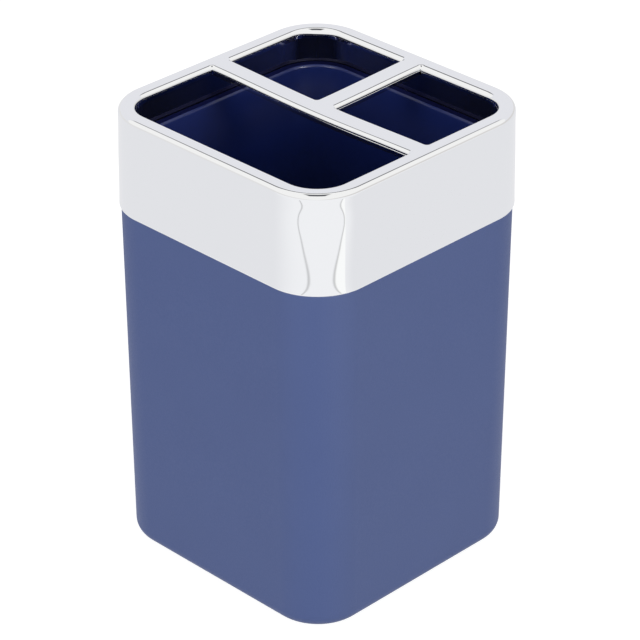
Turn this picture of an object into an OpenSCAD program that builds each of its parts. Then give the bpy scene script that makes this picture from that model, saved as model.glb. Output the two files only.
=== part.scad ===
// Square toothbrush holder: a moulded cup, a plated cap with three openings that lifts off
// for cleaning, and four non-slip pads under the base. Millimetres, +Z up, origin on the table
// under the middle of the holder, and -Y towards the side with the large opening.

/* [Overall] */
// Height of the whole holder, from the table to the top plate
holder_h = 112; // [95:1:130]
// Width of the cup across its flat sides, at the shoulder
cup_w = 70; // [62:1:80]
// Radius of the cup's upright corners, at the shoulder
corner_r = 13; // [11:0.5:16]

/* [Cup] */
// Draft of the cup's outer sides, in degrees
cup_draft = 0.58; // [0.2:0.02:1]
// Draft of the cup's inside, in degrees
cavity_draft = 0.5; // [0.2:0.05:1]
// Thickness of the cup's floor
floor_t = 3; // [2:0.25:5]
// Radius between the cup's floor and its inner sides
floor_fillet = 4; // [2:0.25:6]
// Radius of the cup's lower outer edge
base_edge_r = 3.3; // [1.5:0.1:4]
// Depth of the hollow under the base
base_recess = 1; // [0.5:0.1:2]
// Width of the flat rim that runs round the hollow under the base
base_rim_w = 3; // [2:0.25:4]
// Radius of the edge between the cup's side and its shoulder
shoulder_edge_r = 0.4; // [0.2:0.05:0.6]
// Radius where the neck rises from the shoulder
neck_root_r = 0.25; // [0.15:0.05:0.4]
// Distance from the underside of the cap's top plate down to the neck's rim
rim_gap = 7; // [5:0.25:8]
// Thickness of the neck at the shoulder
neck_wall = 2.1; // [1.6:0.1:2.8]
// Radius of the rim's inner and outer edges
rim_edge_r = 0.4; // [0.2:0.05:0.7]

/* [Guide ribs on the neck] */
// Width of one rib
rib_w = 1.6; // [1:0.1:3]
// Distance of a rib's middle from the neck's rounded corner
rib_inset = 7; // [3:0.5:10]
// Distance from the neck's rim down to the top of a rib
rib_drop = 4.8; // [3:0.2:5]
// Length of the sloped lead-in on top of a rib
rib_lead_in = 1.5; // [0.5:0.25:3]

/* [Cap] */
// Height of the cap, from the mouth of its skirt to its top
cap_h = 24.2; // [20:0.1:30]
// Draft of the skirt, in degrees
skirt_draft = 1.07; // [0.5:0.01:1.5]
// How far the mouth of the skirt stands proud of the cup
skirt_proud = 0.45; // [0.2:0.05:0.8]
// Thickness of the skirt
skirt_wall = 2; // [1.4:0.1:2.4]
// Thickness of the top plate and its bars
plate_t = 2.2; // [1.8:0.1:3]
// Radius of the cap's upper outer edge
top_edge_r = 1.35; // [0.6:0.05:1.5]
// Radius of the outer edge at the skirt's mouth
mouth_edge_r = 0.35; // [0.2:0.05:0.5]
// Radius of the inner edge at the skirt's mouth
mouth_lead_r = 0.5; // [0.3:0.05:0.7]
// Radius between the skirt's inner side and the underside of the plate
under_plate_r = 0.8; // [0.4:0.1:1.2]

/* [Openings] */
// Width of the plate's border, from the outer side of the cap to an opening
border_w = 4.3; // [3.8:0.1:7]
// Width of the long bar, between the large opening and the two small ones
long_bar_w = 5.8; // [4:0.1:9]
// Width of the short bar, between the two small openings
short_bar_w = 5.8; // [4:0.1:9]
// Radius of an opening's corners that follow the cap's outline
outer_corner_r = 7.9; // [6:0.1:11]
// Radius of the upper edge of each opening
opening_edge_r = 1.15; // [0.5:0.05:1.5]
// Radius of an opening's corners that lie against a bar
bar_corner_r = 0.6; // [0.3:0.1:4]

/* [Clearances] */
// Gap between the neck and the inside of the skirt
neck_gap = 0.45; // [0.3:0.05:0.6]
// Gap between a guide rib and the inside of the skirt
rib_gap = 0.12; // [0.08:0.02:0.2]
// Gap round a pad in its seat
pad_gap = 0.15; // [0.1:0.05:0.3]

/* [Pads] */
// Diameter of one pad
pad_d = 9; // [6:0.5:12]
// Depth of the seat that a pad is glued into
pad_seat = 0.4; // [0.2:0.05:0.8]
// How far a pad stands below the cup
pad_stand = 0.4; // [0.2:0.05:0.8]
// Radius of a pad's lower edge
pad_edge_r = 0.3; // [0.1:0.05:0.4]
// Distance of a pad's middle from the wall of the hollow under the base
pad_inset = 6.5; // [6.5:0.25:9]

/* [Hidden] */
$fn = 96;
// How far a cut runs past the surface that it opens
overrun = 1;
// An arc is drawn this much larger, so that it crosses the lines that it joins
arc_lap = 0.0002;
// Share of its reach by which the slice of an arc runs on past both ends
slice_lap_share = 0.1;
// Colours, as red, green and blue shares
cup_colour_shares = [0.34, 0.39, 0.57];
cap_colour_shares = [0.88, 0.89, 0.91];
pad_colour_shares = [0.16, 0.17, 0.19];

// The upright axis of each rounded corner stands this far from the middle, both ways.
// Every profile below gives distances outwards from these axes.
axis_off = cup_w / 2 - corner_r;

// Heights
base_z = pad_stand;
hollow_z = base_z + base_recess;
floor_z = hollow_z + floor_t;
shoulder_z = holder_h - cap_h;
under_plate_z = holder_h - plate_t;
rim_z = under_plate_z - rim_gap;
neck_h = rim_z - shoulder_z;
rib_h = neck_h - rib_drop;

// Distances outwards from the corner axes
cup_out = corner_r;
cup_foot_out = cup_out - (shoulder_z - base_z) * tan(cup_draft);
hollow_out = cup_foot_out - base_edge_r - base_rim_w;
skirt_out = corner_r + skirt_proud;
skirt_in = skirt_out - skirt_wall;
skirt_slope = tan(skirt_draft);
cap_out = skirt_out - cap_h * skirt_slope;
under_plate_out = skirt_in - (under_plate_z - shoulder_z) * skirt_slope;
neck_out = skirt_in - neck_gap;
neck_top_out = neck_out - neck_h * skirt_slope;
cavity_shoulder_out = neck_out - neck_wall;
cavity_rim_out = cavity_shoulder_out + neck_h * tan(cavity_draft);
cavity_floor_out = cavity_shoulder_out - (shoulder_z - floor_z) * tan(cavity_draft);
floor_fillet_r = min(floor_fillet, cavity_floor_out);

// The openings' outer sides stand this far from the middle
opening_half = axis_off + cap_out - border_w;

// Pads
pad_off = axis_off + hollow_out - pad_inset;
pad_h = base_recess + pad_seat + pad_stand;

// Sections are drawn about zero height, where coordinates are small and keep all their digits:
// the cup's about its shoulder, and the cap's and the openings' about the top of the plate
function from_shoulder(z) = z - shoulder_z;
function from_top(z) = z - holder_h;

// Unit vector along v
function unit(v) = v / norm(v);

// Unit vectors from point i of an outline back to the last point and on to the next one
function to_last(points, i) = unit(points[(i + len(points) - 1) % len(points)] - points[i]);
function to_next(points, i) = unit(points[(i + 1) % len(points)] - points[i]);

// Middle of the arc of radius r that rounds point i
function arc_middle(points, i, r) =
    let (a = to_last(points, i), b = to_next(points, i))
    points[i] + unit(a + b) * r / sqrt((1 - a * b) / 2);

// Distance from point i to either end of that arc
function arc_reach(points, i, r) =
    let (c = to_last(points, i) * to_next(points, i))
    r * sqrt((1 + c) / (1 - c));

// Does the outline, drawn anticlockwise, turn left at point i?
function turns_left(points, i) =
    let (a = to_last(points, i), b = to_next(points, i))
    b[0] * a[1] - b[1] * a[0] > 0;

// The outline with each rounded point replaced by the arc's start, middle and end
function notched(points, radii) = [
    for (i = [0:len(points) - 1])
        let (reach = arc_reach(points, i, radii[i]))
        each radii[i] > 0
            ? [points[i] + to_last(points, i) * reach,
               arc_middle(points, i, radii[i]),
               points[i] + to_next(points, i) * reach]
            : [points[i]]
];

// The slice of a disc that lies between the two ends of the arc at point i
module arc_slice(points, i, r) {
    middle = arc_middle(points, i, r);
    reach = arc_reach(points, i, r);
    start = points[i] + to_last(points, i) * reach - middle;
    end = points[i] + to_next(points, i) * reach - middle;
    before = start - end * slice_lap_share;
    past = end - start * slice_lap_share;
    translate(middle)
        intersection() {
            circle(r = r + arc_lap);
            polygon([[0, 0], 2 * before, 2 * (before + past), 2 * past]);
        }
}

// A flat outline, drawn anticlockwise, with true arcs at its rounded points
module rounded_outline(points, radii) {
    difference() {
        union() {
            polygon(notched(points, radii));
            for (i = [0:len(points) - 1])
                if (radii[i] > 0 && turns_left(points, i)) arc_slice(points, i, radii[i]);
        }
        for (i = [0:len(points) - 1])
            if (radii[i] > 0 && !turns_left(points, i)) arc_slice(points, i, radii[i]);
    }
}

// Stands a flat profile up and runs it along +Y by a given length
module run_along_y(length) {
    translate([0, length, 0])
        rotate([90, 0, 0])
            linear_extrude(height = length) children();
}

// Carries a profile once round the rounded square, and fills the middle between two heights
module square_sweep(middle_low, middle_high) {
    for (turn = [0:3])
        rotate([0, 0, 90 * turn]) {
            translate([axis_off, axis_off, 0])
                rotate_extrude(angle = 90) children();
            translate([axis_off, -axis_off, 0])
                run_along_y(2 * axis_off) children();
        }
    translate([-axis_off, -axis_off, middle_low])
        cube([2 * axis_off, 2 * axis_off, middle_high - middle_low]);
}

// Section of the cup, from the middle of the base round to the middle of the floor
module cup_profile() {
    points = [
        [0, from_shoulder(hollow_z)],
        [hollow_out, from_shoulder(hollow_z)],
        [hollow_out, from_shoulder(base_z)],
        [cup_foot_out, from_shoulder(base_z)],
        [cup_out, 0],
        [neck_out, 0],
        [neck_top_out, neck_h],
        [cavity_rim_out, neck_h],
        [cavity_floor_out, from_shoulder(floor_z)],
        [0, from_shoulder(floor_z)]
    ];
    radii = [
        0, 0, 0, base_edge_r, shoulder_edge_r,
        neck_root_r, rim_edge_r, rim_edge_r, floor_fillet_r, 0
    ];
    rounded_outline(points, radii);
}

// One upright rib on the neck's +X side, which guides the skirt as the cap goes on
module guide_rib() {
    rib_out = skirt_in - rib_gap;
    lead_z = shoulder_z + rib_h - rib_lead_in;
    inner = neck_out - neck_wall / 2;
    points = [
        [inner, shoulder_z - shoulder_edge_r],
        [rib_out, shoulder_z - shoulder_edge_r],
        [rib_out, shoulder_z],
        [rib_out - (lead_z - shoulder_z) * skirt_slope, lead_z],
        [neck_out - rib_h * skirt_slope, shoulder_z + rib_h],
        [inner, shoulder_z + rib_h]
    ];
    translate([axis_off, -rib_w / 2, 0])
        run_along_y(rib_w) polygon(points);
}

module cup() {
    color(cup_colour_shares)
        difference() {
            union() {
                translate([0, 0, shoulder_z])
                    square_sweep(from_shoulder(hollow_z), from_shoulder(floor_z)) cup_profile();
                for (turn = [0:3], side = [-1, 1])
                    rotate([0, 0, 90 * turn])
                        translate([0, side * (axis_off - rib_inset), 0]) guide_rib();
            }
            for (x = [-1, 1], y = [-1, 1])
                translate([x * pad_off, y * pad_off, base_z])
                    cylinder(d = pad_d + 2 * pad_gap, h = base_recess + pad_seat);
        }
}

// Section of the cap without its openings, from the middle of the plate out to the skirt
module cap_profile() {
    points = [
        [0, from_top(under_plate_z)],
        [under_plate_out, from_top(under_plate_z)],
        [skirt_in, from_top(shoulder_z)],
        [skirt_out, from_top(shoulder_z)],
        [cap_out, 0],
        [0, 0]
    ];
    radii = [0, under_plate_r, mouth_lead_r, mouth_edge_r, top_edge_r, 0];
    rounded_outline(points, radii);
}

// Section of the space over an opening's edge: a wall that flares out to the top of the plate
module opening_profile(wall_out) {
    low = from_top(under_plate_z) - overrun;
    far = wall_out + opening_edge_r + overrun;
    points = [
        [0, low],
        [wall_out, low],
        [wall_out, 0],
        [far, 0],
        [far, overrun],
        [0, overrun]
    ];
    rounded_outline(points, [0, 0, opening_edge_r, 0, 0, 0]);
}

// The middle of an opening with square corners: it reaches halfway into the cut along each side,
// and its own corners are cut off inside the round ones
function opening_middle(corners, radii) = [
    for (i = [0:len(corners) - 1])
        let (
            last = (i + len(corners) - 1) % len(corners),
            next = (i + 1) % len(corners),
            back = to_last(corners, i),
            ahead = to_next(corners, i)
        )
        each [
            corners[i] + back * radii[i] + ahead * min(radii[last], radii[i]) / 2,
            corners[i] + ahead * radii[i] + back * min(radii[i], radii[next]) / 2
        ]
];

// Cuts one opening in a plate whose top lies at zero height. corners are its outline, drawn
// anticlockwise, and radii round them.
module opening_cut(corners, radii) {
    translate([0, 0, from_top(under_plate_z) - overrun])
        linear_extrude(height = plate_t + 2 * overrun)
            polygon(opening_middle(corners, radii));
    for (i = [0:len(corners) - 1]) {
        next = (i + 1) % len(corners);
        along = to_next(corners, i);
        facing = atan2(along[1], along[0]) - 90;
        start = corners[i] + along * radii[i];
        side_length = norm(corners[next] - corners[i]) - radii[i] - radii[next];
        inner = min(radii[i], radii[next]);
        translate(arc_middle(corners, i, radii[i]))
            rotate([0, 0, facing - 90])
                rotate_extrude(angle = 90) opening_profile(radii[i]);
        translate(start)
            rotate([0, 0, facing])
                translate([-inner, 0, 0])
                    run_along_y(side_length) opening_profile(inner);
    }
}

module cap() {
    half = opening_half;
    bar_y = long_bar_w / 2;
    bar_x = short_bar_w / 2;
    color(cap_colour_shares)
        translate([0, 0, holder_h])
            difference() {
                square_sweep(from_top(under_plate_z), 0) cap_profile();
                opening_cut(
                    [[-half, -half], [half, -half], [half, -bar_y], [-half, -bar_y]],
                    [outer_corner_r, outer_corner_r, bar_corner_r, bar_corner_r]
                );
                opening_cut(
                    [[-half, bar_y], [-bar_x, bar_y], [-bar_x, half], [-half, half]],
                    [bar_corner_r, bar_corner_r, bar_corner_r, outer_corner_r]
                );
                opening_cut(
                    [[bar_x, bar_y], [half, bar_y], [half, half], [bar_x, half]],
                    [bar_corner_r, bar_corner_r, outer_corner_r, bar_corner_r]
                );
            }
}

// One pad. x and y are -1 or 1, for the corner that it stands at.
module pad(x, y) {
    points = [[0, 0], [pad_d / 2, 0], [pad_d / 2, pad_h], [0, pad_h]];
    color(pad_colour_shares)
        translate([x * pad_off, y * pad_off, 0])
            rotate_extrude() rounded_outline(points, [0, pad_edge_r, 0, 0]);
}

cup();
cap();
pad(-1, -1);  // pad_front_left
pad(1, -1);  // pad_front_right
pad(-1, 1);  // pad_back_left
pad(1, 1);  // pad_back_right
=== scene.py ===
"""A square toothbrush holder: a matte moulded cup under a plated cap, in a white photo studio."""

import math

import bpy
import numpy as np
from mathutils import Matrix, Vector
from mathutils.geometry import delaunay_2d_cdt


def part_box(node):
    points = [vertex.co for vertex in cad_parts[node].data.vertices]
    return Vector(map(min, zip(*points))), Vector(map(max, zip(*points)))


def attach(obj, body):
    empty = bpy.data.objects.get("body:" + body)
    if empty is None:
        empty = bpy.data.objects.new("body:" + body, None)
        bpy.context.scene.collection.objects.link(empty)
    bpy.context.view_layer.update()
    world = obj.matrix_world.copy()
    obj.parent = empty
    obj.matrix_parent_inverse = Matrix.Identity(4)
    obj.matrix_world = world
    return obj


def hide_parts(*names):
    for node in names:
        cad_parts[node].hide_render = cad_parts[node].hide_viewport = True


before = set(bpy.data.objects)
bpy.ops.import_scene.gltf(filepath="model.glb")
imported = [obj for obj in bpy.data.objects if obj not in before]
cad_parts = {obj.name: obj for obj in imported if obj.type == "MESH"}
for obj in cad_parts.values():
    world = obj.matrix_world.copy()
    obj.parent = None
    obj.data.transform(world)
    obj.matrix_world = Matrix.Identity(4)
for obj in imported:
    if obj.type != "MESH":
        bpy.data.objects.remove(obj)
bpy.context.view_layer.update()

MM = 0.001

# Sizes are in millimetres. A size called OUT is a distance out from the upright axes of the rounded
# corners, which the cap and the cup share.

# Sizes of the cap. Its height and width come from the frame.

cap_low, cap_high = (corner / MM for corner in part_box("cap"))
MOUTH_Z, TOP_Z = cap_low.z, cap_high.z
MOUTH_HALF = cap_high.x

MOUTH_CORNER_R = 13.45
SKIRT_DRAFT = math.radians(1.07)
SKIRT_WALL = 2.0
PLATE_T = 2.2
TOP_EDGE_R = 1.35
MOUTH_EDGE_R = 0.35
MOUTH_LEAD_R = 0.5
UNDER_PLATE_R = 0.8
BORDER_W = 4.3
LONG_BAR_W = 5.8
SHORT_BAR_W = 5.8
OUTER_CORNER_R = 7.9
BAR_CORNER_R = 0.3
LOWER_EDGE_R = 0.15

# The rounded upper edges of the openings: along most sides, along the back border, along the bars,
# and what the corner farthest from the camera has more
OPENING_EDGE_R = 1.15
BACK_EDGE_R = 1.38
BAR_EDGE_R = 1.07
FAR_CORNER_MORE = 0.26

# Sizes of the cup. Its side stands at CUP_OUT at the shoulder. Its neck, the lip at the neck's rim and
# the guide ribs on it leave these gaps to the inside of the skirt.

cup_low, cup_high = (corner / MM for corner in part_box("cup"))
BASE_Z, SHOULDER_Z = cup_low.z, MOUTH_Z
CUP_OUT = 13.0
CUP_DRAFT = math.radians(0.58)
CAVITY_DRAFT = math.radians(0.5)
BASE_RECESS = 1.0
FLOOR_T = 3.0
FLOOR_FILLET = 4.0
BASE_EDGE_R = 3.3
BASE_RIM_W = 3.0
SHOULDER_EDGE_R = 0.4
NECK_ROOT_R = 0.25
NECK_WALL = 2.1
NECK_GAP = 0.45
RIM_INNER_R = 0.8
RIM_OUTER_R = 0.25
LIP_H = 1.2
SMALL_EDGE_R = 0.12
RIB_W = 1.6
RIB_INSET = 7.0
RIB_H = 10.2
RIB_LEAD_IN = 1.5
RIB_GAP = 0.12
RIB_ROOT = 0.6
PAD_SEAT = 0.4
PAD_GAP = 0.15
ROOF_Z = BASE_Z + BASE_RECESS
FLOOR_Z = ROOF_Z + FLOOR_T

# How far the middle of the plate has sunk, and how far from the middle the sink reaches
SINK_DEPTH = 0.66
SINK_REACH = 33.0

# The mould's parting line stands proud inside the openings, at the foot of the rounded edge. It is
# at its full width on the long bar towards +X, and has shares of that on the short bar and elsewhere.
PARTING_STEP = 0.14
PARTING_ROUND = 0.06
PARTING_REACH = 2.0
SHORT_BAR_SHARE = 0.6
LEAST_SHARE = 0.05

# The moulded skirt isn't quite straight. Each wave tilts it upwards by some degrees, at most at a
# depth below the top, and fades within a reach. The flare at its mouth fades within its own.
WAVES = [(-1.45, 2.6, 1.7), (0.6, 7.2, 2.6), (-0.45, 17.5, 5.0)]
FLARE_TILT = 2.1
FLARE_REACH = 1.3

# How finely the meshes are divided. Flat faces have a grid of points that keep clear of their edges
# by a share of the grid's width.
ARC_STEPS = 24
SIDE_STEPS = 14
EDGE_STEPS = 14
SMALL_EDGE_STEPS = 5
WALL_ROWS = 40
GRID = 2.0
GRID_CLEAR = 0.45
GRID_SPARE = 4
SAME_POINT = 1e-7

# Derived sizes

SKIRT_SLOPE = math.tan(SKIRT_DRAFT)
AXIS_OFF = MOUTH_HALF - MOUTH_CORNER_R + MOUTH_EDGE_R * SKIRT_SLOPE
UNDER_Z = TOP_Z - PLATE_T
CAP_OUT = MOUTH_CORNER_R - (TOP_Z - MOUTH_Z) * SKIRT_SLOPE
SKIRT_IN = MOUTH_CORNER_R - SKIRT_WALL
OPENING_HALF = AXIS_OFF + CAP_OUT - BORDER_W


# Rings: closed loops of points with a level direction that looks outwards

def ring_along(low, high, radii):
    """Points on a rounded rectangle and the level directions outwards from it, anticlockwise.
    radii are the corners' own, from the low corner round."""
    corners = [(low[0], low[1]), (high[0], low[1]), (high[0], high[1]), (low[0], high[1])]
    inwards = [(1, 1), (-1, 1), (-1, -1), (1, -1)]
    points, outs = [], []
    for turn in range(4):
        r, following = radii[turn], (turn + 1) % 4
        centre = np.array(corners[turn]) + r * np.array(inwards[turn])
        for step in range(ARC_STEPS + 1):
            angle = math.pi + (turn + step / ARC_STEPS) * math.pi / 2
            out = np.array([math.cos(angle), math.sin(angle)])
            points.append(centre + r * out)
            outs.append(out)
        end = np.array(corners[following]) + radii[following] * np.array(inwards[following])
        end = end + radii[following] * out
        start = points[-1]
        for step in range(1, SIDE_STEPS):
            points.append(start + (end - start) * step / SIDE_STEPS)
            outs.append(out)
    return np.array(points), np.array(outs)


def arc(centre, radius, start, end, steps):
    """Points of a profile on an arc, as rows of out, height, and the normal's out and height."""
    rows = []
    for step in range(steps + 1):
        angle = math.radians(start + (end - start) * step / steps)
        out, up = math.cos(angle), math.sin(angle)
        rows.append((centre[0] + radius * out, centre[1] + radius * up, out, up))
    return rows


class Skin:
    """Collects the points, normals and faces of one mesh, in millimetres."""

    def __init__(self):
        self.points, self.normals, self.faces = [], [], []

    def add(self, points, normals):
        """Adds points and gives back their numbers."""
        first = len(self.points)
        self.points += [tuple(p) for p in points]
        self.normals += [tuple(n) for n in normals]
        return list(range(first, len(self.points)))

    def ring(self, base, outs, row):
        """Adds a ring at the distance out from a base line and at a height. row is a profile's row."""
        out, z, n_out, n_up = row
        points = base + outs * np.reshape(out, (-1, 1))
        heights = np.ones((len(base), 1)) * z
        ups = np.full((len(base), 1), n_up)
        return self.add(np.hstack([points, heights]), np.hstack([outs * n_out, ups]))

    def bridge(self, ring_a, ring_b, outwards):
        """Closes the gap between two rings of as many points, with its face outwards or inwards."""
        count = len(ring_a)
        for i in range(count):
            j = (i + 1) % count
            face = (ring_a[i], ring_b[i], ring_b[j], ring_a[j])
            self.faces.append(face if outwards else face[::-1])

    def sweep(self, base, outs, rows, outwards):
        """Carries a profile round a base line, and gives back its first and last ring."""
        rings = [self.ring(base, outs, row) for row in rows]
        for ring_a, ring_b in zip(rings, rings[1:]):
            self.bridge(ring_a, ring_b, outwards)
        return rings[0], rings[-1]

    def flat(self, outline, holes, z, up):
        """Fills the space between an outline and its holes, all of them rings of this mesh."""
        loops = [outline, *holes]
        numbers = [n for loop in loops for n in loop]
        flat_points = [Vector(self.points[n][:2]) for n in numbers]
        edges, first = [], 0
        for loop in loops:
            count = len(loop)
            edges += [(first + i, first + (i + 1) % count) for i in range(count)]
            first += count
        polygons = [np.array([self.points[n][:2] for n in loop]) for loop in loops]
        inner = grid_points(polygons)
        numbers += self.add([(x, y, z) for x, y in inner], [(0, 0, up)] * len(inner))
        flat_points += [Vector(p) for p in inner]
        found = delaunay_2d_cdt(flat_points, edges, [], 0, SAME_POINT)
        corners, faces, sources = found[0], found[2], found[3]
        for face in faces:
            if is_on_flat(np.mean([corners[i] for i in face], axis=0), polygons):
                row = [numbers[sources[i][0]] for i in face]
                self.faces.append(row if up > 0 else row[::-1])

    def mesh(self, name, warp=None):
        """Makes the mesh, in metres, after warp has moved its points and turned its normals."""
        points, normals = np.array(self.points), np.array(self.normals)
        if warp:
            points, normals = warp(points, normals)
        mesh = bpy.data.meshes.new(name)
        mesh.from_pydata((points * MM).tolist(), [], self.faces)
        mesh.shade_smooth()
        mesh.normals_split_custom_set_from_vertices(normals.tolist())
        return mesh


def is_inside(point, polygon):
    """Does the point lie inside the polygon?"""
    x, y = polygon[:, 0], polygon[:, 1]
    next_x, next_y = np.roll(x, -1), np.roll(y, -1)
    crosses = (y > point[1]) != (next_y > point[1])
    with np.errstate(divide="ignore", invalid="ignore"):
        at = x + (point[1] - y) * (next_x - x) / (next_y - y)
    return bool(np.count_nonzero(crosses & (at > point[0])) % 2)


def is_on_flat(point, polygons):
    """Does the point lie inside the first polygon and outside the others?"""
    outline, *holes = polygons
    return is_inside(point, outline) and not any(is_inside(point, hole) for hole in holes)


def grid_points(polygons):
    """A grid of points inside the first polygon, outside the others, and clear of all their edges."""
    count = int(OPENING_HALF * 2 / GRID) + GRID_SPARE
    line = (np.arange(count) - (count - 1) / 2) * GRID
    edge_points = np.vstack(polygons)
    kept = []
    for x in line:
        for y in line:
            point = np.array([x, y])
            clear = np.min(np.hypot(*(edge_points - point).T)) > GRID * GRID_CLEAR
            if clear and is_on_flat(point, polygons):
                kept.append((x, y))
    return kept


def new_object(name, data):
    """A new object in the scene."""
    made = bpy.data.objects.new(name, data)
    bpy.context.scene.collection.objects.link(made)
    return made


# The cup

def concave(rows):
    """A hollow arc's rows, whose normals look at its middle."""
    return [(out, z, -n_out, -n_up) for out, z, n_out, n_up in rows]


def cup_side(z):
    """How far out the cup's side stands at a height."""
    return CUP_OUT - (SHOULDER_Z - z) * math.tan(CUP_DRAFT)


def neck_side(z):
    """How far out the neck's outer side stands at a height."""
    return SKIRT_IN - NECK_GAP - (z - SHOULDER_Z) * SKIRT_SLOPE


def cavity_side(z):
    """How far out the cup's inner side stands at a height."""
    return SKIRT_IN - NECK_GAP - NECK_WALL + (z - SHOULDER_Z) * math.tan(CAVITY_DRAFT)


def rim_rows():
    """The rim, from the cup's inner side over its rounded edges and down its thin lip to the neck."""
    inner_z, outer_z = cup_high.z - RIM_INNER_R, cup_high.z - RIM_OUTER_R
    inner = (cavity_side(inner_z) + RIM_INNER_R, inner_z)
    lip_out = neck_side(outer_z) + NECK_GAP - RIB_GAP
    rows = arc(inner, RIM_INNER_R, 180 - math.degrees(CAVITY_DRAFT), 90, EDGE_STEPS)
    rows += arc((lip_out - RIM_OUTER_R, outer_z), RIM_OUTER_R, 90, 0, SMALL_EDGE_STEPS)
    return rows + [(neck_side(cup_high.z - LIP_H), cup_high.z - LIP_H, 1, 0)]


def shoulder_rows():
    """From the neck's root over the shoulder and its rounded edge."""
    root = (neck_side(SHOULDER_Z) + NECK_ROOT_R, SHOULDER_Z + NECK_ROOT_R)
    rows = concave(arc(root, NECK_ROOT_R, 180, 270, SMALL_EDGE_STEPS))
    edge_z = SHOULDER_Z - SHOULDER_EDGE_R
    edge = (cup_side(edge_z) - SHOULDER_EDGE_R / math.cos(CUP_DRAFT), edge_z)
    return rows + arc(edge, SHOULDER_EDGE_R, 90, -math.degrees(CUP_DRAFT), SMALL_EDGE_STEPS)


def base_rows():
    """From the cup's side round its lower edge, under the rim that it stands in, and into the hollow."""
    foot_z = BASE_Z + BASE_EDGE_R
    foot = (cup_side(foot_z) - BASE_EDGE_R / math.cos(CUP_DRAFT), foot_z)
    rows = arc(foot, BASE_EDGE_R, -math.degrees(CUP_DRAFT), -90, EDGE_STEPS)
    hollow_out = cup_side(BASE_Z) - BASE_EDGE_R - BASE_RIM_W
    small = SMALL_EDGE_R
    rows += arc((hollow_out + small, BASE_Z + small), small, 270, 180, SMALL_EDGE_STEPS)
    return rows + concave(arc((hollow_out - small, ROOF_Z - small), small, 0, 90, SMALL_EDGE_STEPS))


def cup_rows():
    """The cup's profile, from its floor up the inside, and down the outside to the hollow's roof."""
    fillet = (cavity_side(FLOOR_Z) - FLOOR_FILLET, FLOOR_Z + FLOOR_FILLET)
    rows = concave(arc(fillet, FLOOR_FILLET, 270, 360, EDGE_STEPS))
    return rows + rim_rows() + shoulder_rows() + base_rows()


def circle_ring(centre, radius):
    """Points on a circle and the level directions outwards from it."""
    angles = np.linspace(0, 2 * math.pi, 2 * ARC_STEPS, endpoint=False)
    outs = np.stack([np.cos(angles), np.sin(angles)], axis=1)
    return np.array(centre) + radius * outs, outs


def pad_seat(skin, pad):
    """The seat in the hollow's roof that a pad is glued into. Gives back its mouth's ring."""
    low, high = (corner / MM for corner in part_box(pad))
    centre = ((low.x + high.x) / 2, (low.y + high.y) / 2)
    small, seat_z = SMALL_EDGE_R, ROOF_Z + PAD_SEAT
    rows = arc((small, ROOF_Z + small), small, 270, 180, SMALL_EDGE_STEPS)
    rows += concave(arc((-small, seat_z - small), small, 0, 90, SMALL_EDGE_STEPS))
    line, outs = circle_ring(centre, (high.x - low.x) / 2 + PAD_GAP)
    mouth, end = skin.sweep(line, outs, rows, True)
    skin.flat(end, [], seat_z, -1)
    return mouth


def guide_rib(skin, turn, along):
    """One upright rib on the neck, on the side that turn gives, at a place along that side. It is
    rooted in the wall, and leans in towards its top."""
    lead_z, top_z = SHOULDER_Z + RIB_H - RIB_LEAD_IN, SHOULDER_Z + RIB_H
    rib_out = SKIRT_IN - RIB_GAP
    profile = [
        (neck_side(SHOULDER_Z) - RIB_ROOT, SHOULDER_Z),
        (rib_out, SHOULDER_Z),
        (rib_out - (lead_z - SHOULDER_Z) * SKIRT_SLOPE, lead_z),
        (neck_side(top_z), top_z),
        (neck_side(top_z) - RIB_ROOT, top_z),
    ]
    spin = np.array(Matrix.Rotation(turn * math.pi / 2, 3, "Z"))

    def face(points):
        points = np.array(points) @ spin.T
        normal = np.cross(points[1] - points[0], points[2] - points[1])
        skin.faces.append(skin.add(points, [normal / np.linalg.norm(normal)] * len(points)))

    ends = [[(AXIS_OFF + out, along + side * RIB_W / 2, z) for out, z in profile] for side in (-1, 1)]
    face(ends[0])
    face(ends[1][::-1])
    for i in range(len(profile)):
        j = (i + 1) % len(profile)
        face([ends[0][j], ends[0][i], ends[1][i], ends[1][j]])


def make_cup(pads):
    """The cup, with the lip and the rounder rim that the frame's plain node lacks."""
    skin = Skin()
    base, outs = ring_along((-AXIS_OFF, -AXIS_OFF), (AXIS_OFF, AXIS_OFF), (0, 0, 0, 0))
    floor_ring, roof_ring = skin.sweep(base, outs, cup_rows(), True)
    skin.flat(floor_ring, [], FLOOR_Z, 1)
    mouths = [pad_seat(skin, pad) for pad in pads]
    skin.flat(roof_ring, mouths, ROOF_Z, -1)
    for turn in range(4):
        for side in (-1, 1):
            guide_rib(skin, turn, side * (AXIS_OFF - RIB_INSET))
    cup = new_object("cup_shell", skin.mesh("cup_shell"))
    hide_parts("cup")
    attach(cup, "holder")
    return cup


# The cap

def opening_rectangles():
    """Each opening as its low and high corner and its corners' radii."""
    half, bar_y, bar_x = OPENING_HALF, LONG_BAR_W / 2, SHORT_BAR_W / 2
    outer, small = OUTER_CORNER_R, BAR_CORNER_R
    return [
        ((-half, -half), (half, -bar_y), (outer, outer, small, small)),
        ((-half, bar_y), (-bar_x, half), (small, small, small, outer)),
        ((bar_x, bar_y), (half, half), (small, small, outer, small)),
    ]


def wall_rows():
    """The skirt's outer wall, from its upper edge down to its mouth."""
    heights = np.linspace(MOUTH_Z + MOUTH_EDGE_R, TOP_Z - TOP_EDGE_R, WALL_ROWS)
    tilts = SKIRT_DRAFT + np.radians([wall_tilt(z) for z in heights])
    out, rows = MOUTH_CORNER_R - MOUTH_EDGE_R * SKIRT_SLOPE, []
    for row, (z, tilt) in enumerate(zip(heights, tilts)):
        if row:
            out -= (z - heights[row - 1]) * math.tan((tilt + tilts[row - 1]) / 2)
        rows.append((out, z, math.cos(tilt), math.sin(tilt)))
    return rows[::-1]


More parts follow.
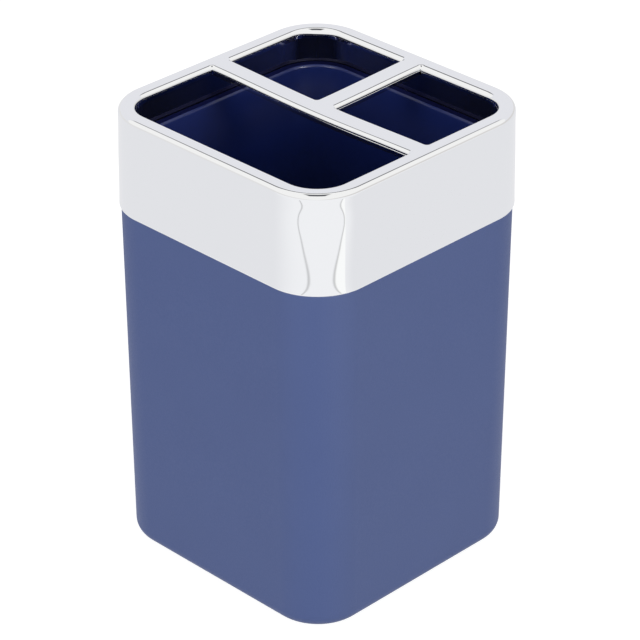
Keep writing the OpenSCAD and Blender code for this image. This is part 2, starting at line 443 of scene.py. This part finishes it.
def wall_tilt(z):
    """How far the skirt's wall leans beyond its draft at a height, in degrees."""
    waves = sum(tilt * math.exp(-((TOP_Z - z - depth) / reach) ** 2) for tilt, depth, reach in WAVES)
    return waves + FLARE_TILT * math.exp(-(z - MOUTH_Z - MOUTH_EDGE_R) / FLARE_REACH)


def skirt_rows():
    """The cap's profile, from the plate's flat down to the mouth, and up the inside to the plate."""
    wall = wall_rows()
    rows = edge_arc(wall[0], TOP_EDGE_R, 90, EDGE_STEPS)[::-1] + wall[1:-1]
    rows += edge_arc(wall[-1], MOUTH_EDGE_R, -90, SMALL_EDGE_STEPS)
    lead_centre = (SKIRT_IN + MOUTH_LEAD_R, MOUTH_Z + MOUTH_LEAD_R)
    rows += arc(lead_centre, MOUTH_LEAD_R, 270, 180, SMALL_EDGE_STEPS)
    under_out = SKIRT_IN - (UNDER_Z - MOUTH_Z) * SKIRT_SLOPE
    under_centre = (under_out - UNDER_PLATE_R, UNDER_Z - UNDER_PLATE_R)
    under = arc(under_centre, UNDER_PLATE_R, 0, 90, SMALL_EDGE_STEPS)
    return rows + concave(under)


def edge_arc(row, radius, end, steps):
    """The arc that carries on from a wall's row, at its own normal, to an end angle."""
    out, z, n_out, n_up = row
    centre = (out - radius * n_out, z - radius * n_up)
    return arc(centre, radius, math.degrees(math.atan2(n_up, n_out)), end, steps)


def edge_radii(points, outs):
    """The radius of an opening's rounded edge at points round it: smaller at the bars, larger at
    the back border and most in its far corner."""
    middle = OPENING_HALF / 2
    radii = np.where(np.abs(points) < middle, BAR_EDGE_R, OPENING_EDGE_R)
    back = points[:, 1] > middle
    radii[back, 1] = BACK_EDGE_R
    far_corner = (back & (points[:, 0] < -middle)) * 4 * outs.prod(axis=1) ** 2
    return (outs ** 2 * radii).sum(axis=1) + FAR_CORNER_MORE * far_corner


def opening_rows(step_widths, radii):
    """An opening's profile, from the plate's flat down to the underside. step_widths and radii are
    the width of the parting step and the edge's radius at each point round the opening."""
    edge = [
        (OPENING_EDGE_R - radii * math.sin(t), TOP_Z - radii[:, None] * (1 - math.cos(t)),
         -math.sin(t), math.cos(t))
        for t in np.radians(np.linspace(0, 90, EDGE_STEPS + 1))
    ]
    share, wall = step_widths / PARTING_STEP, OPENING_EDGE_R - radii
    step = [
        (wall - share * (PARTING_STEP - PARTING_ROUND * (1 - math.sin(t))),
         TOP_Z - radii[:, None] - share[:, None] * PARTING_ROUND * (2 - math.cos(t)),
         -math.sin(t), math.cos(t))
        for t in np.radians(np.linspace(0, 90, SMALL_EDGE_STEPS + 1))
    ]
    low = [
        (wall - share * PARTING_STEP + LOWER_EDGE_R * (1 - math.cos(t)),
         UNDER_Z + LOWER_EDGE_R * (1 - math.sin(t)), -math.cos(t), -math.sin(t))
        for t in np.radians(np.linspace(0, 90, SMALL_EDGE_STEPS + 1))
    ]
    return edge + step + low


def parting_widths(points):
    """Width of the parting step at points round an opening: it shows on the bars' near faces."""
    x, y = points.T
    near_long = np.clip(1 - np.abs(y + LONG_BAR_W / 2) / PARTING_REACH, 0, 1)
    near_short = np.clip(1 - np.abs(x - SHORT_BAR_W / 2) / PARTING_REACH, 0, 1) * (y > 0)
    along = np.clip(x / OPENING_HALF * 2, 0, 1)
    share = np.maximum(near_long * along, near_short * SHORT_BAR_SHARE)
    return PARTING_STEP * np.maximum(share, LEAST_SHARE)


def sink(points, normals):
    """Lowers the middle of the plate a little, as moulded plates are, and turns the normals to suit."""
    share = np.clip(1 - (points[:, :2] / SINK_REACH) ** 2, 0, None)
    share = share * (points[:, 2] > (MOUTH_Z + TOP_Z) / 2)[:, None]
    slopes = 4 * SINK_DEPTH * points[:, :2] / SINK_REACH ** 2 * share * share[:, ::-1] ** 2
    moved = points.copy()
    moved[:, 2] -= SINK_DEPTH * share.prod(axis=1) ** 2
    turned = normals.copy()
    turned[:, :2] -= slopes * normals[:, 2:]
    return moved, turned / np.linalg.norm(turned, axis=1)[:, None]


def make_cap():
    """The cap, with the sunken plate, the parting step and the wavy skirt that the frame's plain node
    lacks."""
    skin = Skin()
    base, outs = ring_along((-AXIS_OFF, -AXIS_OFF), (AXIS_OFF, AXIS_OFF), (0, 0, 0, 0))
    top_ring, under_ring = skin.sweep(base, outs, skirt_rows(), True)
    tops, bottoms = [], []
    for low, high, radii in opening_rectangles():
        line, level = ring_along(low, high, radii)
        rows = opening_rows(parting_widths(line), edge_radii(line, level))
        top, bottom = skin.sweep(line, level, rows, False)
        tops.append(top)
        bottoms.append(bottom)
    skin.flat(top_ring, tops, TOP_Z, 1)
    skin.flat(under_ring, bottoms, UNDER_Z, -1)
    cap = new_object("cap_shell", skin.mesh("cap_shell", sink))
    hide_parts("cap")
    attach(cap, "cap")
    return cap


# Node trees

class Tree:
    """A node tree that is built by short calls, each of which gives back an output."""

    def __init__(self, owner):
        owner.use_nodes = True
        self.tree = owner.node_tree
        self.tree.nodes.clear()

    def node(self, kind, inputs=(), **settings):
        """Adds a node, sets what it is told to, and fills its inputs by name or number."""
        made = self.tree.nodes.new(kind)
        for name, value in settings.items():
            setattr(made, name, value)
        for name, value in dict(inputs).items():
            if isinstance(value, bpy.types.NodeSocket):
                self.tree.links.new(value, made.inputs[name])
            else:
                made.inputs[name].default_value = value
        return made

    def end(self, surface):
        """Ends a material's tree with its surface."""
        self.node("ShaderNodeOutputMaterial", {"Surface": surface})

    def principled(self, inputs):
        """Ends a material's tree with a Principled shader."""
        self.end(self.node("ShaderNodeBsdfPrincipled", inputs).outputs[0])

    def math(self, operation, *values):
        """A Math node's result."""
        return self.node("ShaderNodeMath", enumerate(values), operation=operation).outputs[0]

    def times(self, a, b):
        """The product of two numbers."""
        return self.math("MULTIPLY", a, b)

    def absolute(self, value):
        """A number without its sign."""
        return self.math("ABSOLUTE", value)

    def fade(self, value, start, end, low=0.0, high=1.0):
        """Goes smoothly from low to high as the value goes from start to end."""
        inputs = {"Value": value, "From Min": start, "From Max": end, "To Min": low, "To Max": high}
        return self.node("ShaderNodeMapRange", inputs, interpolation_type="SMOOTHSTEP").outputs[0]

    def mix(self, share, a, b):
        """Mixes two colours."""
        made = self.node("ShaderNodeMix", {0: share, 6: a, 7: b}, data_type="RGBA")
        return made.outputs[2]

    def mix_numbers(self, share, a, b):
        """Mixes two numbers."""
        return self.node("ShaderNodeMix", {0: share, 2: a, 3: b}).outputs[0]

    def mix_shaders(self, share, a, b):
        """Mixes two shaders."""
        return self.node("ShaderNodeMixShader", {0: share, 1: a, 2: b}).outputs[0]

    def noise(self, vector, scale, detail=2.0, roughness=0.5):
        """A noise texture's value, about its middle of 0.5."""
        inputs = {"Vector": vector, "Scale": scale, "Detail": detail, "Roughness": roughness}
        return self.node("ShaderNodeTexNoise", inputs).outputs["Fac"]

    def bump(self, height, distance, strength=1.0):
        """A bump of a height field whose full range is a distance in metres."""
        inputs = {"Height": height, "Distance": distance, "Strength": strength}
        return self.node("ShaderNodeBump", inputs).outputs[0]

    def place(self):
        """A point's place in its piece's own space, in metres."""
        return self.node("ShaderNodeTexCoord").outputs["Object"]

    def split(self, vector):
        """A vector's three parts."""
        return self.node("ShaderNodeSeparateXYZ", {0: vector}).outputs

    def dot(self, vector, direction):
        """A vector's length along a direction."""
        made = self.node("ShaderNodeVectorMath", {0: vector, 1: direction}, operation="DOT_PRODUCT")
        return made.outputs["Value"]

    def glow(self, colour, strength=1.0):
        """Light from a surface."""
        return self.node("ShaderNodeEmission", {0: colour, 1: strength}).outputs[0]

    def matte(self, level):
        """A matte grey surface."""
        return self.node("ShaderNodeBsdfDiffuse", {0: grey(level)}).outputs[0]

    def sky(self, colour, strength=1.0):
        """Light from a direction of the world."""
        return self.node("ShaderNodeBackground", {0: colour, 1: strength}).outputs[0]


def rgb(*values):
    """A colour for a node, from red, green and blue."""
    return (*values, 1.0)


def grey(level):
    """A grey for a node."""
    return rgb(level, level, level)


# Materials. Heights, depths and distances out in them are in metres. A FADE is the pair of values
# between which something turns from its first look into its second.

CHROME = rgb(0.89, 0.90, 0.92)
CHROME_INSIDE_SHADE = rgb(0.62, 0.60, 0.60)
WAVE_SCALE, WAVE_DEPTH = 45, 0.00004
HAZE_SCALE, HAZE_FADE = 160, (0.35, 0.75)
CHROME_ROUGHNESS = (0.018, 0.045)
# The plating inside the skirt and under the plate is darker and a little less metallic: partly duller
# plating, partly painted shade under the plate. It goes by distance out, and by height over the
# plate's underside
SKIRT_IN_FADE = (0.0124, 0.0120)
UNDER_PLATE_FADE = (0.0003, 0.0001)
METALLIC_LOSS = -0.007

PLASTIC = rgb(0.0363, 0.0648, 0.196)
PLASTIC_PALE = rgb(0.0420, 0.0724, 0.209)
# Painted shade: the inside is darker than the outside. Deep down it turns paler, which is painted light
PLASTIC_INSIDE_SHADE = rgb(0.014, 0.027, 0.156)
PLASTIC_DEEP_LIGHT = rgb(0.046, 0.080, 0.310)
# Painted shade on the rim's top, under the plate's border
PLASTIC_RIM_SHADE = rgb(0.008, 0.011, 0.070)
PLASTIC_IOR = 1.53
GRAIN_SCALE, GRAIN_DEPTH, GRAIN_STRENGTH = 2600, 0.00006, 0.55
GRAIN_FADE, GRAIN_ROUGHNESS = (0.3, 0.7), (0.52, 0.62)
CLOUD_SCALE = 60
INSIDE_ROUGHNESS = 0.34
RIM_SHADE_ROUGHNESS = 0.95
# The textured outside turns into the smooth inside by distance out and by height
INSIDE_FADE = (0.0106, 0.0105)
FLOOR_FADE = (0.0030, 0.0040)
# Painted light: the inside gets paler from this height down to this one
DEEP_LIGHT_FADE = (0.085, 0.060)
# The rim's top, where dark shade is painted, starts by depth below the top and by distance out
RIM_SHADE_TOP_FADE = (0.00030, 0.00020)
RIM_SHADE_OUT_FADE = (0.00942, 0.00952)

FOAM = rgb(0.022, 0.024, 0.028)
FOAM_PALE = rgb(0.034, 0.036, 0.041)
FOAM_ROUGHNESS = 0.85
CELL_SCALE, CELL_DEPTH, CELL_STRENGTH = 1800, 0.00012, 0.8


def new_material(name):
    """An empty material and its tree."""
    material = bpy.data.materials.new(name)
    return material, Tree(material)


def distance_out(tree, x, y):
    """How far out a place lies from the upright axes of the rounded corners."""
    squares = []
    for value in (x, y):
        past = tree.math("SUBTRACT", tree.absolute(value), AXIS_OFF * MM)
        beyond = tree.math("MAXIMUM", past, 0.0)
        squares.append(tree.times(beyond, beyond))
    return tree.math("SQRT", tree.math("ADD", *squares))


def chrome_material():
    """Bright plating: nearly a mirror, with the slow waves of a moulded wall under it."""
    material, tree = new_material("bright_plating")
    place = tree.place()
    x, y, z = tree.split(place)
    within = tree.fade(distance_out(tree, x, y), *SKIRT_IN_FADE)
    below = tree.fade(z, *(UNDER_Z * MM + above for above in UNDER_PLATE_FADE))
    inner = tree.times(within, below)
    haze = tree.noise(place, HAZE_SCALE, detail=4)
    tree.principled({
        # Inside the skirt and under the plate: duller plating with painted shade
        "Base Color": tree.mix(inner, CHROME, CHROME_INSIDE_SHADE),
        "Metallic": tree.math("MULTIPLY_ADD", inner, METALLIC_LOSS, 1.0),
        "Roughness": tree.fade(haze, *HAZE_FADE, *CHROME_ROUGHNESS),
        "Normal": tree.bump(tree.noise(place, WAVE_SCALE, detail=1), WAVE_DEPTH),
    })
    return material


def inside_share(tree, out, z):
    """1 on the cup's smooth inside and 0 on its textured outside."""
    return tree.times(tree.fade(out, *INSIDE_FADE), tree.fade(z, *FLOOR_FADE))


def rim_shade_share(tree, out, z):
    """1 on the rim's top, where dark shade is painted."""
    top = tree.fade(z, *(cup_high.z * MM - below for below in RIM_SHADE_TOP_FADE))
    return tree.times(top, tree.fade(out, *RIM_SHADE_OUT_FADE))


def plastic_material():
    """Blue moulded plastic: spark-textured and matte outside, smooth and satin inside, where its colour
    holds painted shade and, deep down, painted light. The rim's top is painted shade: it counts as
    metal of a dark colour, which takes the sheen of plastic off it."""
    material, tree = new_material("blue_plastic")
    place = tree.place()
    x, y, z = tree.split(place)
    out = distance_out(tree, x, y)
    inside, rim_shade = inside_share(tree, out, z), rim_shade_share(tree, out, z)
    grain = tree.noise(place, GRAIN_SCALE, detail=2, roughness=0.6)
    outer_colour = tree.mix(tree.noise(place, CLOUD_SCALE, detail=3), PLASTIC, PLASTIC_PALE)
    inner_shade_and_light = tree.mix(tree.fade(z, *DEEP_LIGHT_FADE), PLASTIC_INSIDE_SHADE, PLASTIC_DEEP_LIGHT)
    roughness = tree.fade(grain, *GRAIN_FADE, *GRAIN_ROUGHNESS)
    roughness = tree.mix_numbers(inside, roughness, INSIDE_ROUGHNESS)
    strength = tree.times(tree.math("SUBTRACT", 1.0, inside), GRAIN_STRENGTH)
    tree.principled({
        "Base Color": tree.mix(rim_shade, tree.mix(inside, outer_colour, inner_shade_and_light), PLASTIC_RIM_SHADE),
        "Metallic": rim_shade,
        "Roughness": tree.mix_numbers(rim_shade, roughness, RIM_SHADE_ROUGHNESS),
        "Normal": tree.bump(grain, GRAIN_DEPTH, strength),
        "IOR": PLASTIC_IOR,
    })
    return material


def foam_material():
    """Dark closed-cell foam rubber."""
    material, tree = new_material("foam_rubber")
    inputs = {"Vector": tree.place(), "Scale": CELL_SCALE}
    cells = tree.node("ShaderNodeTexVoronoi", inputs).outputs["Distance"]
    tree.principled({
        "Base Color": tree.mix(cells, FOAM, FOAM_PALE),
        "Roughness": FOAM_ROUGHNESS,
        "Normal": tree.bump(cells, CELL_DEPTH, CELL_STRENGTH),
    })
    return material


def dress(piece, material):
    """Gives a piece one material, in place of any that it has."""
    if piece.material_slots:
        for one in piece.material_slots:
            one.material = material
    else:
        piece.data.materials.append(material)


# Camera: its angles in degrees, its distance and aim in millimetres, and small turns in degrees that
# bring the holder to its place in the picture

AZIMUTH, ELEVATION, ROLL = 44.9116, 29.8029, 0.11658
YAW, PITCH = 0.05017, -0.04316
DISTANCE = 718.43
AIM_HEIGHT = 56.19
SENSOR, LENS = 36.0, 175.34
CLIP_START, CLIP_END = 0.05, 20


def view_axes():
    """The camera's right, up and back directions before its small turns."""
    azimuth, elevation = math.radians(AZIMUTH), math.radians(ELEVATION)
    back = Vector((
        math.sin(azimuth) * math.cos(elevation),
        -math.cos(azimuth) * math.cos(elevation),
        math.sin(elevation),
    ))
    right = Vector((math.cos(azimuth), math.sin(azimuth), 0))
    return right, back.cross(right), back


def make_camera():
    """The camera at the photograph's viewing angle."""
    data = bpy.data.cameras.new("camera")
    data.sensor_width, data.lens = SENSOR, LENS
    data.clip_start, data.clip_end = CLIP_START, CLIP_END
    camera = new_object("camera", data)
    axes = Matrix(view_axes())
    for angle, axis in ((YAW, "Y"), (PITCH, "X"), (ROLL, "Z")):
        axes = Matrix.Rotation(math.radians(angle), 3, axis) @ axes
    eye = Vector((0, 0, AIM_HEIGHT)) + DISTANCE * view_axes()[2]
    camera.matrix_world = Matrix.Translation(eye * MM) @ axes.transposed().to_4x4()
    bpy.context.scene.camera = camera


# Studio. Places in it are given away from the camera and to its right.

# The world that the gloss shows: a ceiling, a back wall beyond it and a horizon round them. Places
# on the ceiling are given as if it hung 1 above the holder. A pair of them says where one tone starts
# to turn into the next, and where it has.
CEILING = rgb(0.985, 0.976, 0.952)
BACK_WALL = rgb(0.845, 0.845, 0.875)
WALL_FADE = (0.70, 0.80)
HORIZON_LEFT = rgb(0.83, 0.82, 0.81)
HORIZON_RIGHT = rgb(0.74, 0.72, 0.70)
HORIZON_FADE = (2.2, 4.5)
HORIZON_SIDES = (-1.0, 1.0)
LEAST_UP = 0.001
# A dark gap between the ceiling and the back wall, from near to far and out to either side
GAP = rgb(0.12, 0.12, 0.13)
GAP_NEAR = (0.58, 0.66)
GAP_FAR = (0.98, 0.88)
GAP_SIDE = (0.66, 0.44)
# A dark hatch overhead: how far its middle is towards the camera, and half its depth and width
HATCH_NEARER = 0.12
HATCH_DEEP = (0.34, 0.26)
HATCH_WIDE = (0.22, 0.16)
# Soft light by height: its level near the horizon and overhead, and the heights between them
AMBIENT = (1.15, 0.30)
AMBIENT_FADE = (0.1, 0.6)

# Two soft lamps stand to the left and right of the camera, at this distance and height angle
LAMP_DISTANCE = 1.0
LAMP_TURN = 45.0
LAMP_RISE = 24.0
LAMP_SIZE = (0.3, 0.5)
LAMP_POWER = 3.6
# Two small lamps beside them show in the gloss of the cup alone
SPARK_TURN = 39.0
SPARK_SIZE = (0.10, 0.10)
SPARK_POWERS = (6.0, 10.0)

# The white sheet that the holder stands on, in metres: its tones in gloss, which change along a soft
# front edge. That edge crosses the view at a distance ahead of the holder, and falls back to the
# right. Before it, the tone starts to change at a place that shifts from side to side.
FLOOR_HALF = 3.0
FLOOR_NEAR = rgb(0.845, 0.845, 0.86)
FLOOR_FAR = rgb(0.965, 0.965, 0.970)
EDGE_AHEAD = 0.208
EDGE_SLOPE = 0.136
# Half the width and the depth of a dark line painted along the edge in gloss: a painted shadow of the
# sheet's edge
EDGE_SHADOW_HALF = 0.006
EDGE_SHADOW_DEPTH = 0.35
TONE_SIDES = (-0.10, 0.10)
TONE_STARTS = (-0.22, -0.09)
# A patch beside the edge, to the right, glows brighter in gloss
GLOW_PATCH = rgb(1.06, 1.06, 1.04)
GLOW_PATCH_AHEAD = 0.058
GLOW_PATCH_SLOPE = 0.625
GLOW_PATCH_BORDER = 0.001
GLOW_PATCH_SIDE = (0.06, 0.09)
# The sheet is brightest close to the holder
FLOOR_CLOSE = rgb(1.05, 1.05, 1.04)
CLOSE_FADE = (0.150, 0.100)
# To the camera it glows nearly white, and a matte share of it still takes the holder's shadow
FLOOR_GLOW = 0.88
FLOOR_SHOWN = 0.36
FLOOR_MATTE = 0.8


def level_axes():
    """The level directions away from the camera and to its right."""
    right, _, back = view_axes()
    away = Vector((-back.x, -back.y, 0)).normalized()
    return away, right


def seen_in_gloss(tree, path):
    """1 for gloss that the camera sees, and 0 for gloss that only lights matte surfaces. The number
    of matte bounces is whole, so it is below 0.5 where there has been none."""
    straight = tree.math("LESS_THAN", path["Diffuse Depth"], 0.5)
    return tree.times(path["Is Glossy Ray"], straight)


def gloss_tones(tree, far, side):
    """The studio's tones that the gloss shows, by place on the ceiling."""
    aside = tree.absolute(side)
    ceiling = tree.mix(tree.fade(far, *WALL_FADE), CEILING, BACK_WALL)
    horizon = tree.mix(tree.fade(side, *HORIZON_SIDES), HORIZON_LEFT, HORIZON_RIGHT)
    colour = tree.mix(tree.fade(aside, *HORIZON_FADE), ceiling, horizon)
    gap = tree.times(tree.fade(far, *GAP_NEAR), tree.fade(far, *GAP_FAR))
    colour = tree.mix(tree.times(gap, tree.fade(aside, *GAP_SIDE)), colour, GAP)
    deep = tree.fade(tree.absolute(tree.math("ADD", far, HATCH_NEARER)), *HATCH_DEEP)
    return tree.mix(tree.times(deep, tree.fade(aside, *HATCH_WIDE)), colour, GAP)


def studio_light():
    """The world: white to the camera, soft light on the object, and a white studio in its gloss."""
    world = bpy.data.worlds.new("studio")
    bpy.context.scene.world = world
    tree = Tree(world)
    direction = tree.node("ShaderNodeTexCoord").outputs["Generated"]
    away, right = level_axes()
    up = tree.math("MAXIMUM", tree.split(direction)[2], LEAST_UP)
    far = tree.math("DIVIDE", tree.dot(direction, away), up)
    side = tree.math("DIVIDE", tree.dot(direction, right), up)
    studio = tree.sky(gloss_tones(tree, far, side))
    ambient = tree.sky(grey(1), tree.fade(up, *AMBIENT_FADE, *AMBIENT))
    path = tree.node("ShaderNodeLightPath").outputs
    seen = tree.mix_shaders(seen_in_gloss(tree, path), ambient, studio)
    clear = tree.math("MAXIMUM", path["Is Camera Ray"], path["Is Transmission Ray"])
    tree.node("ShaderNodeOutputWorld", {"Surface": tree.mix_shaders(clear, seen, tree.sky(grey(1)))})


def soft_lamp(name, turn):
    """A soft lamp, turned from the camera's direction to its right. Gloss doesn't show it."""
    data = bpy.data.lights.new(name, "AREA")
    data.shape = "RECTANGLE"
    data.size, data.size_y = LAMP_SIZE
    data.energy = LAMP_POWER
    lamp = new_object(name, data)
    lamp.visible_glossy = False
    away, right = level_axes()
    turn, rise = math.radians(turn), math.radians(LAMP_RISE)
    level = right * math.sin(turn) - away * math.cos(turn)
    back = level * math.cos(rise) + Vector((0, 0, math.sin(rise)))
    facing = back.to_track_quat("Z", "Y").to_matrix().to_4x4()
    lamp.matrix_world = Matrix.Translation(back * LAMP_DISTANCE) @ facing
    return lamp


def spark_lamp(name, turn, power, piece):
    """A small lamp that only one piece's gloss shows."""
    lamp = soft_lamp(name, turn)
    lamp.data.size, lamp.data.size_y = SPARK_SIZE
    lamp.data.energy = power
    lamp.visible_glossy, lamp.visible_diffuse = True, False
    lit = bpy.data.collections.new(name)
    lit.objects.link(piece)
    lamp.light_linking.receiver_collection = lit


def floor_tones(tree, place):
    """The sheet's tones that the gloss shows, by place."""
    away, right = level_axes()
    ahead, side = tree.times(tree.dot(place, away), -1.0), tree.dot(place, right)
    past = tree.math("ADD", ahead, tree.math("MULTIPLY_ADD", side, EDGE_SLOPE, -EDGE_AHEAD))
    start = tree.fade(side, *TONE_SIDES, *TONE_STARTS)
    tone = tree.mix(tree.fade(past, start, 0.0), FLOOR_NEAR, FLOOR_FAR)
    patch_past = tree.math("ADD", ahead, tree.math("MULTIPLY_ADD", side, -GLOW_PATCH_SLOPE, -GLOW_PATCH_AHEAD))
    on_glow_patch = tree.times(
        tree.fade(patch_past, -GLOW_PATCH_BORDER, GLOW_PATCH_BORDER), tree.fade(past, GLOW_PATCH_BORDER, -GLOW_PATCH_BORDER),
    )
    tone = tree.mix(tree.times(on_glow_patch, tree.fade(side, *GLOW_PATCH_SIDE)), tone, GLOW_PATCH)
    # A painted shadow line along the sheet's edge
    line = tree.fade(tree.absolute(past), EDGE_SHADOW_HALF, 0.0)
    tone = tree.mix(tree.times(line, EDGE_SHADOW_DEPTH), tone, grey(0))
    distance = tree.node("ShaderNodeVectorMath", {0: place}, operation="LENGTH").outputs["Value"]
    return tree.mix(tree.fade(distance, *CLOSE_FADE), tone, FLOOR_CLOSE)


def floor_material():
    """A white sheet: white with the object's soft shadow to the camera, and glowing tones in gloss,
    with a painted shadow line along its front edge and a brighter glowing patch.
    """
    material, tree = new_material("white_sheet")
    place = tree.node("ShaderNodeNewGeometry").outputs["Position"]
    gloss = tree.glow(floor_tones(tree, place))
    parts = {0: tree.glow(grey(1), FLOOR_GLOW), 1: tree.matte(FLOOR_SHOWN)}
    shown = tree.node("ShaderNodeAddShader", parts).outputs[0]
    path = tree.node("ShaderNodeLightPath").outputs
    surface = tree.mix_shaders(seen_in_gloss(tree, path), tree.matte(FLOOR_MATTE), gloss)
    tree.end(tree.mix_shaders(path["Is Camera Ray"], surface, shown))
    return material


def make_floor():
    """The sheet, square to the camera."""
    away, right = level_axes()
    sides = [(-1, -1), (-1, 1), (1, 1), (1, -1)]
    corners = [(right * side - away * ahead) * FLOOR_HALF for side, ahead in sides]
    mesh = bpy.data.meshes.new("floor")
    mesh.from_pydata(corners, [], [range(len(corners))])
    mesh.materials.append(floor_material())
    sheet = new_object("floor", mesh)


def main():
    """Dresses the frame, and sets the stage, the light and the camera."""
    chrome, plastic, foam = chrome_material(), plastic_material(), foam_material()
    pads = [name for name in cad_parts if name.startswith("pad_")]
    cap, cup = make_cap(), make_cup(pads)
    for piece in (cap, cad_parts["cap"]):
        dress(piece, chrome)
    for piece in (cup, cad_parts["cup"]):
        dress(piece, plastic)
    for pad in pads:
        dress(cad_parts[pad], foam)
    make_floor()
    studio_light()
    soft_lamp("left_lamp", -LAMP_TURN)
    soft_lamp("right_lamp", LAMP_TURN)
    spark_lamp("left_spark", -SPARK_TURN, SPARK_POWERS[0], cup)
    spark_lamp("right_spark", SPARK_TURN, SPARK_POWERS[1], cup)
    make_camera()
    bpy.context.scene.view_settings.view_transform = "Standard"


main()
